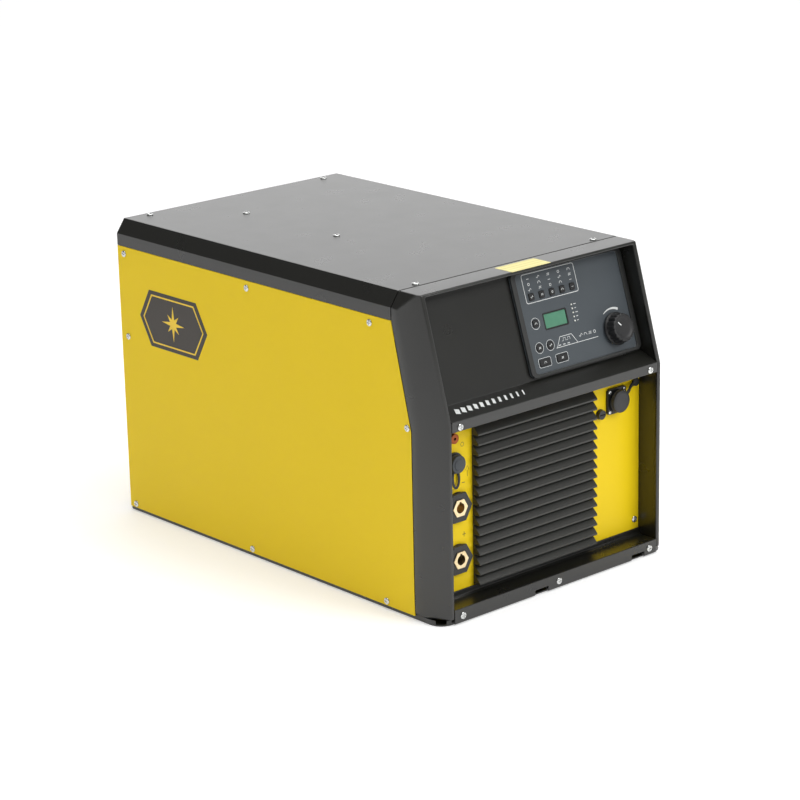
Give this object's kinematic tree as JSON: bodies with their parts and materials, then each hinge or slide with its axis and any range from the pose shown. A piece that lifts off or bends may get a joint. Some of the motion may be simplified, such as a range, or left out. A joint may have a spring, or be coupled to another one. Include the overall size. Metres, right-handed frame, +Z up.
{
  "type": "tig welding machine",
  "caption": "Box-shaped TIG welding power source with a leaning recessed control panel, a louvred front, round weld sockets, gas couplings and a fan at the rear.",
  "frame": {"origin": "middle of the underside, on the surface that the case stands on", "axes": "+X to the right seen from the front, +Y from the front to the back, +Z up"},
  "size_m": [0.4204, 0.6785, 0.4252],
  "materials": {
    "charcoal_paint": "satin charcoal powder coat",
    "yellow_paint": "semi-gloss yellow powder coat",
    "zinc_steel": "zinc plated sheet",
    "bright_steel": "bright zinc plated",
    "keypad_grey": "matt dark grey foil",
    "display_green": "green liquid crystal window",
    "circuit_board": "lacquered board",
    "lamp_lens": "clear lamp lenses",
    "button_black": "satin black key caps",
    "knob_black": "satin black",
    "louvre_black": "semi-matt black",
    "socket_black": "moulded black",
    "cap_rubber": "matt dark rubber",
    "contact_brass": "machined brass",
    "coupling_brass": "machined brass",
    "fan_black": "moulded black",
    "extruded_aluminium": "mill finish",
    "capacitor_sleeve": "shrink sleeve",
    "core_steel": "laminated core",
    "copper_winding": "enamelled copper",
    "potting_black": "potted box",
    "hose_rubber": "rubber hose"
  },
  "bodies": {
    "case": {"base_tray": "charcoal_paint", "front_bezel": "charcoal_paint", "control_fascia": "charcoal_paint", "front_sill": "charcoal_paint", "top_cover": "charcoal_paint", "side_panel_left": "yellow_paint", "side_panel_right": "yellow_paint", "front_panel": "yellow_paint", "rear_panel": "yellow_paint", "roof_rail": "zinc_steel", "air_duct": "zinc_steel", "side_screws": "bright_steel", "top_screws": "bright_steel", "front_screws": "bright_steel", "rear_screws": "bright_steel", "encoder": "bright_steel", "keypad_frame": "keypad_grey", "display_window": "display_green", "control_board": "circuit_board", "power_board": "circuit_board", "status_lamps": "lamp_lens", "front_grille": "louvre_black", "weld_socket_upper": "socket_black", "weld_socket_lower": "socket_black", "torch_socket": "socket_black", "remote_socket": "socket_black", "fuse_holder": "socket_black", "mains_switch": "socket_black", "mains_gland": "socket_black", "weld_contact_upper": "contact_brass", "weld_contact_lower": "contact_brass", "gas_outlet": "coupling_brass", "gas_inlet": "coupling_brass", "gas_valve": "coupling_brass", "fan_frame": "fan_black", "heat_sink": "extruded_aluminium", "bus_capacitors": "capacitor_sleeve", "main_transformer": "core_steel", "transformer_winding": "copper_winding", "output_inductor": "copper_winding", "busbars": "copper_winding", "hf_unit": "potting_black", "gas_hose": "hose_rubber"},
    "mode_button_1_key": {"mode_button_1": "button_black"},
    "mode_button_2_key": {"mode_button_2": "button_black"},
    "mode_button_3_key": {"mode_button_3": "button_black"},
    "mode_button_4_key": {"mode_button_4": "button_black"},
    "mode_button_5_key": {"mode_button_5": "button_black"},
    "meter_button_key": {"meter_button": "button_black"},
    "pulse_button_left_key": {"pulse_button_left": "button_black"},
    "pulse_button_right_key": {"pulse_button_right": "button_black"},
    "slope_button_left_key": {"slope_button_left": "button_black"},
    "slope_button_right_key": {"slope_button_right": "button_black"},
    "setting_knob": {"control_knob": "knob_black"},
    "fan": {"fan_rotor": "fan_black"},
    "switch_handle": {"mains_switch_knob": "knob_black"},
    "torch_cap": {"torch_socket_cap": "cap_rubber"},
    "remote_cap": {"remote_socket_cap": "cap_rubber"},
    "fuse_carrier": {"fuse_cap": "socket_black"}
  },
  "joints": [
    {"name": "mode_button_1_press", "type": "slide", "parent": "case", "child": "mode_button_1_key", "axis": [0, 0.9511, -0.309], "range_m": [0, 0.0008], "stiffness_N_per_m": 400, "springref_m": -0.0005},
    {"name": "mode_button_2_press", "type": "slide", "parent": "case", "child": "mode_button_2_key", "axis": [0, 0.9511, -0.309], "range_m": [0, 0.0008], "stiffness_N_per_m": 400, "springref_m": -0.0005},
    {"name": "mode_button_3_press", "type": "slide", "parent": "case", "child": "mode_button_3_key", "axis": [0, 0.9511, -0.309], "range_m": [0, 0.0008], "stiffness_N_per_m": 400, "springref_m": -0.0005},
    {"name": "mode_button_4_press", "type": "slide", "parent": "case", "child": "mode_button_4_key", "axis": [0, 0.9511, -0.309], "range_m": [0, 0.0008], "stiffness_N_per_m": 400, "springref_m": -0.0005},
    {"name": "mode_button_5_press", "type": "slide", "parent": "case", "child": "mode_button_5_key", "axis": [0, 0.9511, -0.309], "range_m": [0, 0.0008], "stiffness_N_per_m": 400, "springref_m": -0.0005},
    {"name": "meter_button_press", "type": "slide", "parent": "case", "child": "meter_button_key", "axis": [0, 0.9511, -0.309], "range_m": [0, 0.0008], "stiffness_N_per_m": 400, "springref_m": -0.0005},
    {"name": "pulse_button_left_press", "type": "slide", "parent": "case", "child": "pulse_button_left_key", "axis": [0, 0.9511, -0.309], "range_m": [0, 0.0008], "stiffness_N_per_m": 400, "springref_m": -0.0005},
    {"name": "pulse_button_right_press", "type": "slide", "parent": "case", "child": "pulse_button_right_key", "axis": [0, 0.9511, -0.309], "range_m": [0, 0.0008], "stiffness_N_per_m": 400, "springref_m": -0.0005},
    {"name": "slope_button_left_press", "type": "slide", "parent": "case", "child": "slope_button_left_key", "axis": [0, 0.9511, -0.309], "range_m": [0, 0.0008], "stiffness_N_per_m": 400, "springref_m": -0.0005},
    {"name": "slope_button_right_press", "type": "slide", "parent": "case", "child": "slope_button_right_key", "axis": [0, 0.9511, -0.309], "range_m": [0, 0.0008], "stiffness_N_per_m": 400, "springref_m": -0.0005},
    {"name": "setting_knob_turn", "type": "hinge", "parent": "case", "child": "setting_knob", "pos_m": [0.1455, -0.28372, 0.31271], "axis": [0, -0.9511, 0.309], "continuous": true},
    {"name": "fan_spin", "type": "hinge", "parent": "case", "child": "fan", "pos_m": [-0.0145, 0.286, 0.0853], "axis": [0, 1, 0], "continuous": true},
    {"name": "mains_switch_turn", "type": "hinge", "parent": "case", "child": "switch_handle", "pos_m": [0.118, 0.323, 0.328], "axis": [0, 1, 0], "range_deg": [0, 90]},
    {"name": "torch_cap_pull", "type": "slide", "parent": "case", "child": "torch_cap", "axis": [0, -1, 0], "range_m": [0, 0.02]},
    {"name": "remote_cap_pull", "type": "slide", "parent": "case", "child": "remote_cap", "axis": [0, -1, 0], "range_m": [0, 0.02]},
    {"name": "fuse_cap_turn", "type": "hinge", "parent": "case", "child": "fuse_carrier", "pos_m": [0.1095, -0.293, 0.2055], "axis": [0, -1, 0], "range_deg": [-45, 0]}
  ]
}
